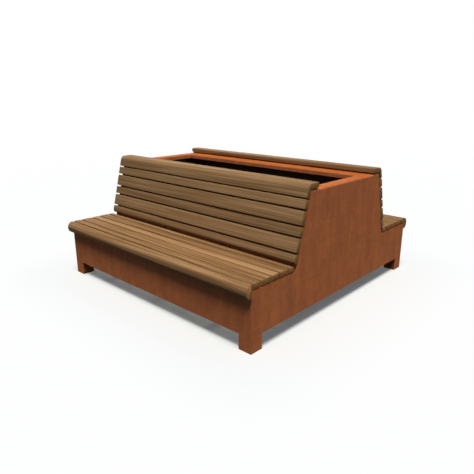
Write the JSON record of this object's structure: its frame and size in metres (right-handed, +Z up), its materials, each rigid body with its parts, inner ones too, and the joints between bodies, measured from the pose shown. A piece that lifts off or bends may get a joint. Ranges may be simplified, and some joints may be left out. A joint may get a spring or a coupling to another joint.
{
  "type": "bench with planter",
  "caption": "Square street bench with slatted wooden seats and leaning backs on two sides of a long open planter, all in folded weathering steel.",
  "frame": {"origin": "on the ground, in the middle of the plan", "axes": "+Z up, X along the seats and the planter, the front bench faces -Y and the rear bench faces +Y"},
  "size_m": [2.004, 2.0926, 0.9486],
  "materials": {
    "weathering_steel": "matt rust patina",
    "weathering_steel_inside": "matt rust patina, in shade",
    "hardwood_seat": "oiled hardwood",
    "hardwood_back": "oiled hardwood, greying",
    "planting_liner": "matt black sheet",
    "drain_plastic": "matt"
  },
  "bodies": {
    "root": {"end_plate_right": "weathering_steel", "end_plate_left": "weathering_steel", "apron_front": "weathering_steel", "planter_wall_front": "weathering_steel", "seat_support_front_1": "weathering_steel_inside", "back_bar_front_1": "weathering_steel_inside", "seat_support_front_2": "weathering_steel_inside", "back_bar_front_2": "weathering_steel_inside", "seat_support_front_3": "weathering_steel_inside", "back_bar_front_3": "weathering_steel_inside", "seat_support_front_4": "weathering_steel_inside", "back_bar_front_4": "weathering_steel_inside", "seat_nosing_front": "hardwood_seat", "seat_slat_front_1": "hardwood_seat", "seat_slat_front_2": "hardwood_seat", "seat_slat_front_3": "hardwood_seat", "seat_slat_front_4": "hardwood_seat", "seat_slat_front_5": "hardwood_seat", "back_slat_front_1": "hardwood_back", "back_slat_front_2": "hardwood_back", "back_slat_front_3": "hardwood_back", "back_slat_front_4": "hardwood_back", "back_slat_front_5": "hardwood_back", "back_cap_front": "hardwood_back", "apron_rear": "weathering_steel", "planter_wall_rear": "weathering_steel", "seat_support_rear_1": "weathering_steel_inside", "back_bar_rear_1": "weathering_steel_inside", "seat_support_rear_2": "weathering_steel_inside", "back_bar_rear_2": "weathering_steel_inside", "seat_support_rear_3": "weathering_steel_inside", "back_bar_rear_3": "weathering_steel_inside", "seat_support_rear_4": "weathering_steel_inside", "back_bar_rear_4": "weathering_steel_inside", "seat_nosing_rear": "hardwood_seat", "seat_slat_rear_1": "hardwood_seat", "seat_slat_rear_2": "hardwood_seat", "seat_slat_rear_3": "hardwood_seat", "seat_slat_rear_4": "hardwood_seat", "seat_slat_rear_5": "hardwood_seat", "back_slat_rear_1": "hardwood_back", "back_slat_rear_2": "hardwood_back", "back_slat_rear_3": "hardwood_back", "back_slat_rear_4": "hardwood_back", "back_slat_rear_5": "hardwood_back", "back_cap_rear": "hardwood_back", "foot_plate_front_right": "weathering_steel_inside", "foot_plate_rear_right": "weathering_steel_inside", "foot_plate_rear_left": "weathering_steel_inside", "foot_plate_front_left": "weathering_steel_inside", "planter_floor": "weathering_steel_inside", "floor_bearer_1": "weathering_steel_inside", "floor_bearer_2": "weathering_steel_inside", "floor_bearer_3": "weathering_steel_inside", "planter_liner": "planting_liner", "drain_spout_left": "drain_plastic", "drain_spout_right": "drain_plastic"}
  },
  "joints": []
}
